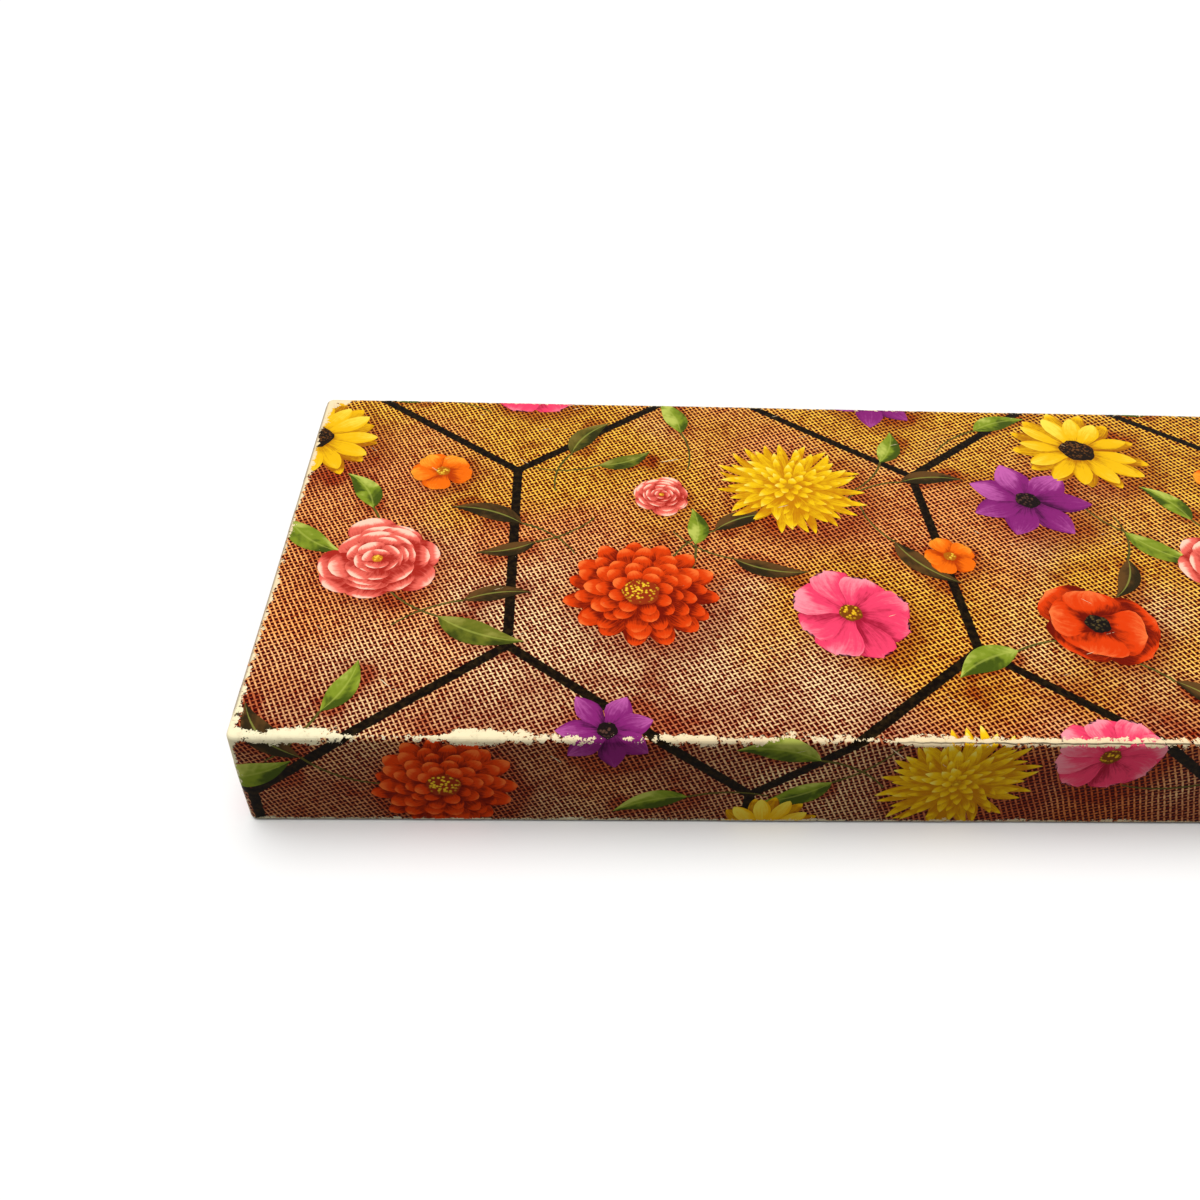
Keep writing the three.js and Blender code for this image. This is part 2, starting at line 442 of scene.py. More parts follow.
def sheet_place(side, along, run):
    """Where a point of a side lies on the flat printed sheet, from the middle of the panel."""
    along, run = np.broadcast_arrays(along, run)
    along_way, out_way = side_ways[side]
    flat = flat_side if side in long_sides else flat_end
    return along[..., None] * along_way + (flat + run)[..., None] * out_way


def store(mesh, name, values):
    """Keeps one number, or one vector, for each vertex of a mesh."""
    kind, field = ("FLOAT", "value") if values.ndim == 1 else ("FLOAT_VECTOR", "vector")
    kept = mesh.attributes.new(name, kind, "POINT")
    kept.data.foreach_set(field, values.astype(np.float32).ravel())


def vectors_of(rows, field):
    """The vectors of a mesh's vertices or of one of its attributes, as an array."""
    values = np.zeros(len(rows) * 3, np.float32)
    rows.foreach_get(field, values)
    return values.reshape(-1, 3).astype(float)


def smooth_piece(name, mesh):
    """Puts a mesh of the cover or its print into the scene, shaded without facets."""
    mesh.polygons.foreach_set("use_smooth", [True] * len(mesh.polygons))
    return placed(name, mesh)


class Sheet:
    """A mesh put together from grids of points that share their edges."""

    def __init__(self):
        self.points, self.flat, self.faces, self.count = [], [], [], 0

    def grid(self, points, normals, flat):
        rows, columns = points.shape[:2]
        index = np.arange(rows * columns).reshape(rows, columns) + self.count
        quads = np.stack([index[:-1, :-1], index[:-1, 1:], index[1:, 1:], index[1:, :-1]], -1)
        quads = quads.reshape(-1, 4)
        row, column = rows // 2 - 1, columns // 2 - 1
        ahead = points[row, column + 1] - points[row, column]
        up = points[row + 1, column] - points[row, column]
        if np.dot(np.cross(ahead, up), normals[row, column]) < 0:
            quads = quads[:, ::-1]
        self.points.append(points.reshape(-1, 3))
        self.flat.append(flat.reshape(-1, 2))
        self.faces.append(quads)
        self.count += rows * columns

    def build(self, name):
        flat = np.concatenate(self.flat)
        mesh = bpy.data.meshes.new(name)
        mesh.from_pydata(np.concatenate(self.points), [], np.concatenate(self.faces).tolist())
        store(mesh, "sheet", np.column_stack([flat, np.zeros(len(flat))]))
        joined = bmesh.new()
        joined.from_mesh(mesh)
        bmesh.ops.remove_doubles(joined, verts=joined.verts, dist=weld)
        joined.to_mesh(mesh)
        joined.free()
        return smooth_piece(name, mesh)


def steps(low, high, pitch):
    """Even steps from low to high, about a pitch apart."""
    return np.linspace(low, high, max(2, round((high - low) / pitch) + 1))


def straight_run(side):
    """Places along the straight part of a side, between its rounded corners."""
    half = half_length if side in long_sides else half_width
    return steps(corner_radius - half, half - corner_radius, sheet_pitch)


def corner_patch(sheet, sign_x, sign_y):
    """The panel's rounded corner, between the ends of two folds."""
    turns = np.linspace(0, quarter, corner_steps + 1)
    along = half_length - corner_radius + corner_radius * turns
    side = "front" if sign_y < 0 else "back"
    points, normals = on_side(side, sign_x * along, panel_rows)
    spread = straight_inset + panel_rows
    x = half_length - corner_radius + spread * np.sin(turns)
    y = half_width - corner_radius + spread * np.cos(turns)
    sheet.grid(points, normals, np.stack([sign_x * x, sign_y * y], -1))


def panel_sheet():
    sheet = Sheet()
    x, y = np.meshgrid(straight_run("front"), straight_run("left"))
    points = handled(np.stack([x, y, np.full_like(x, lid_top)], -1))
    up = np.broadcast_to(np.array([0.0, 0.0, 1.0]), points.shape)
    sheet.grid(points, up, np.stack([x, y], -1))
    for side in side_ways:
        along = straight_run(side)
        points, normals = on_side(side, along, panel_rows)
        sheet.grid(points, normals, sheet_place(side, along, panel_rows))
    for sign_x in (-1, 1):
        for sign_y in (-1, 1):
            corner_patch(sheet, sign_x, sign_y)
    return sheet.build("lid_print_panel")


def flap_rows():
    """Runs from the middle of the fold, down the wall and round the rim to the hem's end."""
    rim = run_to_rim + np.linspace(0, rim_run, bend_rows)
    back = rim[-1] + base_run + np.linspace(0, rim_run, bend_rows)
    return np.concatenate([
        np.linspace(fold_middle, fold_run, bend_rows),
        steps(fold_run, run_to_rim, sheet_pitch)[1:],
        rim[1:],
        back,
        steps(back[-1], back[-1] + hem_run, hem_pitch)[1:],
    ])[:, None]


def flap_sheet(side):
    """A long flap with its tabs, or an end flap whose upright edges are pasted down."""
    sheet = Sheet()
    rows = flap_rows()
    along = straight_run(side)
    lifts = 0.0
    if side in long_sides:
        bend = along[-1] + np.linspace(0, corner_radius * quarter, corner_steps + 1)[1:]
        tab = bend[-1] + np.array([tab_ease / 2, tab_ease, tab_width])
        past = np.concatenate([bend, tab])
        along = np.concatenate([-past[::-1], along, past])
    else:
        along = np.concatenate([along[:1], along, along[-1:]])
        lifts = np.zeros(len(along))
        lifts[[0, -1]] = -tab_sink
    points, normals = on_side(side, along, rows, lifts)
    sheet.grid(points, normals, sheet_place(side, along, rows))
    return sheet.build(f"lid_print_flap_{side}")


lid_sheets = [panel_sheet()] + [flap_sheet(side) for side in side_ways]

# The paper is rubbed through to its cream core wherever the box is held or slides: along the
# folds, at the corners and in nicks along the rim. Each point keeps how wide that band is.
rubbed_front_left = 0.0016
rubbed_front_right = 0.0010
rubbed_left = 0.0011
rubbed_right = 0.0012
rubbed_back = 0.0003
rubbed_post = 0.00025
rubbed_rim = 0.00035
rubbed_corner = 0.0022
rubbed_back_corner = 0.0036
corner_reach = 0.0075
back_corner_reach = 0.012
post_reach = 2 * corner_radius
band_inward = 0.0004
band_ragged = 0.0050
band_fine = 0.0020
band_soft = 0.00007
ragged_scale = 480.0
fine_scale = 2100.0
uneven_scale = 55.0
even_range = (-0.02, 0.04)
left_fold_range = (0.002 - half_length, 0.006 - half_length)
nick_depth = 0.0012
nick_scale = 90.0
speck_scale = 1500.0
scratch_scales = (90.0, 1500.0)
scratch_headings = (0.35, -0.75)
left_ink_scale = 950.0
left_ink_range = (0.0002, 0.0011)


def rubbed_width(flat):
    """Half the width of the rubbed band round the nearest fold, at places on the flat sheet."""
    x, y = flat[:, 0], flat[:, 1]
    to_right = np.clip(x / half_length + 0.6, 0, 1)
    front = rubbed_front_left + (rubbed_front_right - rubbed_front_left) * to_right
    end = np.where(x < 0, rubbed_left, rubbed_right)
    past_side = np.abs(y) - flat_side
    past_end = np.abs(x) - flat_end
    sides = np.where(y < 0, front, rubbed_back)
    width = np.where(past_end > past_side, end, sides)
    on_post = (past_side > fold_run) & (past_end > -post_reach)
    on_post = on_post | (past_end > fold_run) & (past_side > -post_reach)
    width = np.where(on_post, rubbed_post, width)
    from_corner = np.hypot(np.abs(x) - half_length, np.abs(y) - half_width)
    small = (y < 0) | on_post
    deep = np.where(small, rubbed_corner, rubbed_back_corner)
    reach = np.where(small, corner_reach, back_corner_reach)
    return width + deep * np.exp(-((from_corner / reach) ** 2))


for piece in lid_sheets:
    flat = vectors_of(piece.data.attributes["sheet"].data, "vector")
    store(piece.data, "rubbed", rubbed_width(flat))

# Under the ink the paper is cream. It has toned to tan away from the front left corner,
# is greyed by painted shade on the outer half of the end and back folds, and has cracked
# along the right half of the front fold.
paper_core = (0.97, 0.875, 0.58)
core_toned = (0.92, 0.725, 0.44)
core_dirty = (0.60, 0.47, 0.30)
fold_shade_grey = (0.36, 0.29, 0.21)
crack_dark = (0.07, 0.045, 0.025)
toned_to_right = 8.0
toned_to_back = 25.0
toned_range = (-2.95, -1.9)
dirt_scale = 420.0
front_range = (half_width - 0.01, half_width - 0.005)
fold_shade_range = (-0.0008, -0.0002)
fold_shade_fade_range = (0.0010, 0.0020)
crack_half = 0.00016
crack_wander = 0.0009
crack_scale = 210.0
crack_range = (-0.02, 0.02)
sheen_scale = 160.0
varnish_rough = 0.34
core_rough = 0.85
print_relief = 0.00006


def scratches(wire, flat, heading):
    """1 on the few short thin scratches that run one way across the print."""
    cos, sin = math.cos(heading), math.sin(heading)
    ahead = (flat.axis("X") * cos + flat.axis("Y") * sin) * scratch_scales[0]
    off = (flat.axis("Y") * cos - flat.axis("X") * sin) * scratch_scales[1]
    drawn_out = wire.node("CombineXYZ", None, {0: ahead, 1: off, 2: heading})
    return wire.noise(drawn_out, 1.0, 1.0).between(0.80, 0.82)


def bare_paper(wire, flat, to_fold, to_rim):
    """1 where the ink is gone: bands along the folds, nicks in the rim, specks and scratches."""
    uneven = wire.noise(flat, uneven_scale, 3.0, 0.65).between(0.36, 0.62) * 1.8 - 0.35
    even = flat.axis("X").between(*even_range)
    uneven = uneven * (1 - even) + even
    left_fold = 1 - flat.axis("X").between(*left_fold_range)
    uneven = wire.math("MAXIMUM", uneven, left_fold * 0.7)
    ragged = (wire.noise(flat, ragged_scale, 3.0, 0.7) - 0.5) * band_ragged
    fine = (wire.noise(flat, fine_scale, 2.0, 0.6) - 0.5) * band_fine
    margin = wire.attribute("rubbed", "Fac") * uneven + ragged - to_fold
    bare = ((margin + fine) / band_soft).between(0, 1)
    nicks = wire.noise(flat, nick_scale, 3.0, 0.7).between(0.5, 0.72) * nick_depth
    bare_rim = ((nicks + rubbed_rim + ragged * 0.4 + fine - to_rim) / band_soft).between(0, 1)
    specks = wire.noise(flat, speck_scale, 3.0, 0.7).between(0.735, 0.75)
    bare = wire.math("MAXIMUM", wire.math("MAXIMUM", bare, bare_rim), specks * 0.8)
    scratched = wire.math("MAXIMUM", *(scratches(wire, flat, turn) for turn in scratch_headings))
    bare = wire.math("MAXIMUM", bare, scratched * 0.85)
    left_ink = wire.noise(flat, left_ink_scale, 3.0, 0.7).between(0.56, 0.60)
    return bare * (1 - left_ink * (1 - margin.between(*left_ink_range)))


def varnished(name, ink):
    """Printed paper: ink(wire, flat) gives its colour, and the rubbed bands go over it."""
    material, wire, shader = material_named(name, 0.02)
    flat = wire.attribute("sheet")
    color = ink(wire, flat)
    past_end = abs(flat.axis("X")) - (flat_end + fold_middle)
    past_side = abs(flat.axis("Y")) - (flat_side + fold_middle)
    to_fold = wire.math("MINIMUM", abs(past_end), abs(past_side + band_inward))
    out = wire.math("MAXIMUM", past_end, past_side)
    bare = bare_paper(wire, flat, to_fold, abs(out - (run_to_rim - fold_middle)))

    aged = flat.axis("X") * toned_to_right + flat.axis("Y") * toned_to_back
    core = wire.mix(aged.between(*toned_range) * 0.85, paper_core, core_toned)
    dirt = wire.noise(flat, dirt_scale, 4.0, 0.75).between(0.48, 0.74)
    core = wire.mix(dirt * 0.45, core, core_dirty)
    on_front = (-flat.axis("Y")).between(*front_range)
    # Painted shade: the bare core is greyed on the outer half of the end and back folds, where they
    # turn away from the light.
    outer = out.between(*fold_shade_range) * (1 - out.between(*fold_shade_fade_range))
    core = wire.mix(outer * (1 - on_front) * 0.75, core, fold_shade_grey)
    wander = (wire.noise(flat, crack_scale, 2.0) - 0.5) * crack_wander
    cracked = flat.axis("X").between(*crack_range) * on_front
    crack = (1 - (abs(past_side + wander) / crack_half).between(0.6, 1.6)) * cracked
    core = wire.mix(crack * 0.85, core, crack_dark)

    sheen = wire.noise(flat, sheen_scale, 3.0) * 0.12
    roughness = (varnish_rough + sheen) * (1 - bare) + bare * core_rough
    height = 1 - bare * 0.8 - crack * 1.5
    finish_with(wire, shader, wire.mix(bare, color, core), roughness, height, print_relief)
    return material


# The print is a photograph of coarse hessian, cut into cells by a dark six-sided lattice.
# Plain weave: each thread goes over one and under the next, with dark gaps between.
warp_pitch = 0.00128
weft_pitch = 0.00124
weave_turn = math.radians(24)
weave_wander = 0.0021
weave_wander_scale = 38.0
weave_spread = (0.3, 0.4)
warp_share = 0.41
weft_share = 0.38
warp_light = (0.86, 0.26, 1.24)
weft_light = (0.72, 0.28, 1.16)
weft_key_offset = 77.0
slub_swell = 0.45
slub_scales = (3.7, 0.35)
thread_round = 0.75
thread_edge = (0.85, 1.15)
thread_pale = (1.0, 0.80, 0.40)
thread_orange = (1.0, 0.47, 0.135)
thread_ochre = (1.0, 0.61, 0.07)
thread_dim = (0.40, 0.030, 0.001)
thread_dim_ochre = (0.48, 0.09, 0.001)
stain_tint = (0.50, 0.20, 0.15)
gap_dark = (0.038, 0.0004, 0.0001)
golden_to_right = 0.8
golden_to_back = 1.5
golden_scale = 11.0
pale_to_front = 1.2
pale_scale = 15.0
pale_apart = (0.7, 0.3, 0.1)
streak_scale = 48.0
front_darkening_scale = 26.0
front_darkening_range = (0.002, 0.032)
cell_width = 0.118
cell_side = 0.073
cell_rise = 0.049
lattice_x = -half_length + 0.062
lattice_y = -half_width + 0.030
line_half = 0.00133
line_soft = 0.00012
line_jagged = 0.0005
line_scale = 700.0
line_dark = (0.004, 0.0015, 0.0005)
line_olive = (0.020, 0.011, 0.003)


def lattice_mask(wire, flat):
    """1 on the dark lines of the lattice. Upright sides stand in rows, and the slanting
    sides run between the rows."""
    row_pitch = cell_side + cell_rise
    slope = 2 * cell_rise / cell_width
    square_on = math.cos(math.atan(slope))
    up = (flat.axis("Y") - lattice_y) / row_pitch
    row = wire.math("FLOOR", up)
    rise = (up - row) * row_pitch
    sideways = (flat.axis("X") - lattice_x) / cell_width - row * 0.5
    off = abs(sideways - wire.math("ROUND", sideways)) * cell_width
    above = wire.math("MAXIMUM", rise - cell_side, 0.0)
    upright = wire.math("SQRT", off * off + above * above)
    slanting = abs(rise - cell_side - off * slope) * square_on
    arriving = (rise + off * slope) * square_on
    nearest = wire.math("MINIMUM", wire.math("MINIMUM", upright, slanting), arriving)
    jagged = (wire.noise(flat, line_scale, 2.0) - 0.5) * line_jagged
    return 1 - (nearest + jagged).between(line_half - line_soft, line_half + line_soft)


def woven_thread(wire, off_middle, along, key, high, share, light):
    """1 on a thread, and how light it is: more where it lies high, at its middle and at slubs."""
    place = wire.node("CombineXYZ", None, {0: key * slub_scales[0], 1: along * slub_scales[1]})
    slub = wire.noise(place, 1.0, 3.0, 0.7)
    off = abs(off_middle) * 2 / (share + (slub - 0.5) * slub_swell)
    level, raised, middle = light
    lit = (level + high * raised) * (middle - off * off * thread_round) * (0.1 + slub * 1.8)
    return 1 - off.between(*thread_edge), lit


def weave(wire, flat):
    """1 on the threads and 0 in the gaps, and how light the thread on top is."""
    wander = wire.noise(flat, weave_wander_scale, 2.0, 0.5, "Color")
    wander = wander.vector("SUBTRACT", wander, (0.5, 0.5, 0.5))
    wander = wander.vector("MULTIPLY", wander, (weave_wander,) * 3)
    from_left = (flat.axis("X") + half_length) * weave_spread[0]
    nearness = 1 - from_left - (flat.axis("Y") + half_width) * weave_spread[1]
    woven = {0: flat.vector("ADD", flat, wander), "Scale": nearness}
    woven = wire.node("VectorMath", {"operation": "SCALE"}, woven)
    cos, sin = math.cos(weave_turn), math.sin(weave_turn)
    across = (woven.axis("X") * cos + woven.axis("Y") * sin) / warp_pitch
    down = (woven.axis("Y") * cos - woven.axis("X") * sin) / weft_pitch
    warp_key = wire.math("FLOOR", across)
    weft_key = wire.math("FLOOR", down)
    off_warp, off_weft = across - warp_key, down - weft_key
    warp_odd = 1 - 2 * wire.math("MODULO", abs(warp_key), 2.0)
    weft_odd = 1 - 2 * wire.math("MODULO", abs(weft_key), 2.0)
    warp_high = wire.math("SINE", off_weft * math.pi) * weft_odd * warp_odd
    weft_high = -(wire.math("SINE", off_warp * math.pi) * weft_odd * warp_odd)
    on_warp, warp_lit = woven_thread(
        wire, off_warp - 0.5, down, warp_key, warp_high, warp_share, warp_light
    )
    on_weft, weft_lit = woven_thread(
        wire, off_weft - 0.5, across, weft_key + weft_key_offset, weft_high, weft_share, weft_light
    )
    warp_over = (warp_high * on_warp - weft_high * on_weft).between(-0.3, 0.3)
    warp_over = wire.math("MAXIMUM", warp_over * on_warp, on_warp * (1 - on_weft))
    return wire.math("MAXIMUM", on_warp, on_weft), warp_lit * warp_over + weft_lit * (1 - warp_over)


def hessian_ink(wire, flat):
    thread, lit = weave(wire, flat)
    golden = flat.axis("X") * golden_to_right + flat.axis("Y") * golden_to_back
    golden = (wire.noise(flat, golden_scale, 2.0, 0.55) + golden).between(0.44, 0.62)
    pale = wire.noise(flat.vector("ADD", flat, pale_apart), pale_scale, 2.0, 0.5)
    pale = (pale - flat.axis("Y") * pale_to_front).between(0.46, 0.66)
    light = wire.mix(pale, thread_orange, thread_pale)
    light = wire.mix(golden, light, thread_ochre)
    dim = wire.mix(golden, thread_dim, thread_dim_ochre)
    color = wire.mix(lit.between(0.42, 1.18), dim, light)

    streak = wire.noise(flat, streak_scale, 4.0, 0.62).between(0.52, 0.72)
    # The hessian is darker in patches along the front edge of the panel and all down the front
    # wall.
    to_front = 1 - (flat.axis("Y") + half_width).between(*front_darkening_range)
    front_darkening = to_front * wire.noise(flat, front_darkening_scale, 3.0, 0.6).between(0.25, 0.60)
    deep = streak * 0.65 + wire.attribute("shade", "Fac") + front_darkening * 0.75
    stained = wire.mix(1.0, color, stain_tint, "MULTIPLY")
    color = wire.mix(wire.math("MINIMUM", deep, 1.0), color, stained)
    bright = wire.math("MINIMUM", 0.50 + lit * 0.70, 1.05)
    bright = wire.node("CombineColor", None, {0: bright, 1: bright, 2: bright})
    color = wire.mix(1.0, color, bright, "MULTIPLY")
    color = wire.mix(thread, gap_dark, color)
    line = wire.mix(wire.noise(flat, line_scale, 3.0).between(0.4, 0.7), line_dark, line_olive)
    return wire.mix(lattice_mask(wire, flat), color, line)


hessian_print = varnished("hessian_print", hessian_ink)
for piece in lid_sheets:
    piece.data.materials.append(hessian_print)
    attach(piece, "lid")
    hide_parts("lid_wrap")

# Cut flowers and leaves are printed near life size over the hessian, each lit from the upper
# left. They are thin sheets laid on the cover, a piece for each kind, bent over the same folds.
stem_lift = 0.00003
leaf_lift = 0.000042
petal_lift = 0.00006
ring_lift = 0.000018
petal_tilt = 0.000007
fold_cuts = 5


class Bed:
    """Petals, leaves and hearts of one kind, laid on the flat sheet."""

    def __init__(self):
        self.points, self.faces, self.count = [], [], 0

    def lay(self, x, y, lift, across, along, key, paint, heart=0.0):
        """Adds grids of points, each with its rows running from the base to the tip."""
        points = np.stack(np.broadcast_arrays(x, y, lift, across, along, key, paint, heart), -1)
        index = np.arange(points[..., 0].size).reshape(points.shape[:-1]) + self.count
        corners = index[:, :-1, :-1], index[:, 1:, :-1], index[:, 1:, 1:], index[:, :-1, 1:]
        self.faces.append(np.stack(corners, -1).reshape(-1, 4))
        self.points.append(points.reshape(-1, points.shape[-1]))
        self.count += index.size

    def build(self, name):
        points = np.concatenate(self.points)
        mesh = bpy.data.meshes.new(name)
        mesh.from_pydata(points[:, :3], [], np.concatenate(self.faces).tolist())
        store(mesh, "petal", points[:, 3:6])
        store(mesh, "paint", points[:, 6])
        store(mesh, "heart", points[:, 7])
        fold_over_lid(mesh)
        return smooth_piece(name, mesh)


def cut_lines():
    """Where flat sheets are cut to follow the folds and the rounded upright corners."""
    folds = np.linspace(0, fold_run, fold_cuts)
    posts = corner_radius * np.linspace(0, quarter, fold_cuts)
    ends = np.concatenate([flat_end + folds, half_length - corner_radius + posts])
    sides = np.append(flat_side + folds, half_width - corner_radius)
    return (ends, flat_end + run_to_rim), (sides, flat_side + run_to_rim)


def hidden_at_corner(place):
    """Whether a place on the flat sheet is cut away at a corner of the folded cover."""
    past_end = abs(place.x) - (half_length - corner_radius)
    past_side = abs(place.y) - (half_width - corner_radius)
    on_flap = abs(place.y) > flat_side + fold_run and past_end < corner_radius * quarter
    return past_end > 0 and past_side > 0 and not on_flap


def bent(places):
    """Points of the covered lid for points of the flat sheet, given as x, y and lift."""
    x, y, lift = places.T
    panel = np.column_stack([x, y, np.full_like(x, lid_top)])
    moved = handled(panel) + lift[:, None] * (0, 0, 1)
    past_side = np.abs(y) - flat_side
    past_end = np.abs(x) - flat_end
    for side in side_ways:
        out_way = side_ways[side][1]
        out = x * out_way[0] + y * out_way[1]
        if side in long_sides:
            here, along, run = (past_side > 0) & (out > 0), x, past_side
        else:
            here, along, run = (past_end > 0) & (past_side <= 0) & (out > 0), y, past_end
        moved[here] = on_side(side, along[here], run[here], lift[here])[0]
    return moved


def fold_over_lid(mesh):
    """Cuts a flat mesh at the folds, drops what the corners hide, and bends the rest over."""
    cut = bmesh.new()
    cut.from_mesh(mesh)
    for axis, (places, last) in enumerate(cut_lines()):
        for place in [*places, last]:
            for sign in (-1, 1):
                way = [0.0, 0.0, 0.0]
                way[axis] = float(sign)
                at = [place * step for step in way]
                everything = cut.verts[:] + cut.edges[:] + cut.faces[:]
                bmesh.ops.bisect_plane(
                    cut, geom=everything, plane_co=at, plane_no=way, clear_outer=bool(place == last)
                )
    hidden = [face for face in cut.faces if hidden_at_corner(face.calc_center_median())]
    bmesh.ops.delete(cut, geom=hidden, context="FACES")
    cut.to_mesh(mesh)
    cut.free()
    places = vectors_of(mesh.vertices, "co")
    flat = places * (1, 1, 0)
    store(mesh, "sheet", flat)
    store(mesh, "rubbed", rubbed_width(flat))
    mesh.vertices.foreach_set("co", bent(places).ravel().astype(np.float32))
    mesh.update()


# What each kind of flower is made of: rings of petals as (count, inner end, outer end, half
# width) in shares of the radius, the form of one petal, and the colours of petal and heart.
flower_kinds = {
    "zinnias": {
        "rings": [
            (15, 0.28, 1.00, 0.175), (14, 0.24, 0.86, 0.165), (12, 0.20, 0.71, 0.155),
            (10, 0.16, 0.56, 0.14), (8, 0.12, 0.42, 0.12),
        ],
        "neck": 0.55, "shoulder": 0.55, "point": 0.5, "teeth": 0.0, "curl": 0.10,
        "heart_size": 0.24, "rim": 0.10, "stray": 0.09,
        "petal_colors": [(0.17, 0.006, 0.001), (0.72, 0.05, 0.003), (0.93, 0.17, 0.03)],
        "heart_colors": [(0.30, 0.03, 0.005), (0.95, 0.62, 0.03)],
    },
    "chrysanthemums": {
        "rings": [
            (22, 0.30, 1.00, 0.075), (20, 0.25, 0.88, 0.080), (18, 0.20, 0.75, 0.080),
            (16, 0.16, 0.61, 0.075), (13, 0.12, 0.47, 0.070), (10, 0.08, 0.33, 0.065),
            (6, 0.03, 0.19, 0.060),
        ],
        "neck": 0.5, "shoulder": 0.45, "point": 0.8, "teeth": 0.0, "curl": 0.35,
        "heart_size": 0.06, "rim": 0.00, "stray": 0.09,
        "petal_colors": [(0.55, 0.20, 0.002), (0.90, 0.55, 0.006), (0.97, 0.80, 0.13)],
        "heart_colors": [(0.55, 0.25, 0.005), (0.85, 0.55, 0.02)],
    },
    "cosmos": {
        "rings": [(8, 0.12, 1.00, 0.37)],
        "neck": 0.25, "shoulder": 0.72, "point": 0.42, "teeth": 0.10, "curl": 0.05,
        "heart_size": 0.19, "rim": 0.12, "stray": 0.11,
        "petal_colors": [(0.35, 0.008, 0.03), (0.90, 0.055, 0.14), (0.96, 0.30, 0.36)],
        "heart_colors": [(0.20, 0.05, 0.004), (0.92, 0.55, 0.02)],
    },
    "clematis": {
        "rings": [(7, 0.08, 1.00, 0.31)],
        "neck": 0.35, "shoulder": 0.35, "point": 0.9, "teeth": 0.0, "curl": 0.06,
        "heart_size": 0.20, "rim": 0.00, "stray": 0.09,
        "petal_colors": [(0.05, 0.004, 0.035), (0.24, 0.018, 0.16), (0.56, 0.12, 0.40)],
        "heart_colors": [(0.010, 0.005, 0.005), (0.10, 0.045, 0.03)],
    },
    "camellias": {
        "rings": [
            (7, 0.25, 1.00, 0.42), (7, 0.20, 0.84, 0.38), (6, 0.15, 0.69, 0.34),
            (6, 0.11, 0.54, 0.27), (5, 0.07, 0.40, 0.22), (4, 0.02, 0.25, 0.16),
        ],
        "neck": 0.55, "shoulder": 0.60, "point": 0.5, "teeth": 0.0, "curl": 0.10,
        "heart_size": 0.09, "rim": 0.34, "stray": 0.20,
        "petal_colors": [(0.40, 0.02, 0.012), (0.84, 0.14, 0.10), (1.0, 0.62, 0.46)],
        "heart_colors": [(0.60, 0.20, 0.01), (0.95, 0.60, 0.05)],
    },
    "rudbeckias": {
        "rings": [(13, 0.22, 1.00, 0.165), (12, 0.20, 0.92, 0.155)],
        "neck": 0.5, "shoulder": 0.5, "point": 0.65, "teeth": 0.0, "curl": 0.10,
        "heart_size": 0.27, "rim": 0.00, "stray": 0.09,
        "petal_colors": [(0.40, 0.12, 0.002), (0.90, 0.50, 0.006), (0.97, 0.76, 0.08)],
        "heart_colors": [(0.012, 0.006, 0.003), (0.16, 0.06, 0.015)],
    },
    "poppies": {
        "rings": [(4, 0.05, 1.00, 0.64), (4, 0.05, 0.87, 0.56)],
        "neck": 0.4, "shoulder": 0.62, "point": 0.5, "teeth": 0.03, "curl": 0.05,
        "heart_size": 0.22, "rim": 0.10, "stray": 0.12,
        "petal_colors": [(0.16, 0.006, 0.001), (0.76, 0.05, 0.004), (0.95, 0.20, 0.05)],
        "heart_colors": [(0.008, 0.005, 0.004), (0.09, 0.06, 0.02)],
    },
    "blossoms": {
        "rings": [(5, 0.08, 1.00, 0.46)],
        "neck": 0.4, "shoulder": 0.62, "point": 0.5, "teeth": 0.05, "curl": 0.05,
        "heart_size": 0.22, "rim": 0.05, "stray": 0.10,
        "petal_colors": [(0.45, 0.04, 0.001), (0.90, 0.15, 0.004), (0.96, 0.38, 0.03)],
        "heart_colors": [(0.45, 0.12, 0.004), (0.95, 0.62, 0.05)],
    },
}

# Where the flowers lie on the repeat, in metres from the lid's front left corner, with radius.
flower_bed = [
    ("zinnias", 0.096, 0.050, 0.0205), ("chrysanthemums", 0.142, 0.097, 0.0220),
    ("cosmos", 0.150, 0.043, 0.0160), ("camellias", 0.104, 0.092, 0.0085),
    ("clematis", 0.212, 0.092, 0.0180), ("camellias", 0.026, 0.062, 0.0160),
    ("rudbeckias", 0.000, 0.118, 0.0200), ("blossoms", 0.040, 0.102, 0.0095),
    ("poppies", 0.214, 0.040, 0.0150), ("zinnias", 0.048, -0.016, 0.0170),
    ("clematis", 0.086, 0.003, 0.0120), ("chrysanthemums", 0.170, -0.014, 0.0190),
    ("cosmos", 0.204, -0.004, 0.0130), ("cosmos", 0.066, 0.150, 0.0170),
    ("poppies", 0.102, 0.162, 0.0110), ("clematis", 0.176, 0.146, 0.0155),
    ("blossoms", 0.182, 0.066, 0.0080), ("rudbeckias", 0.126, -0.034, 0.0140),
]

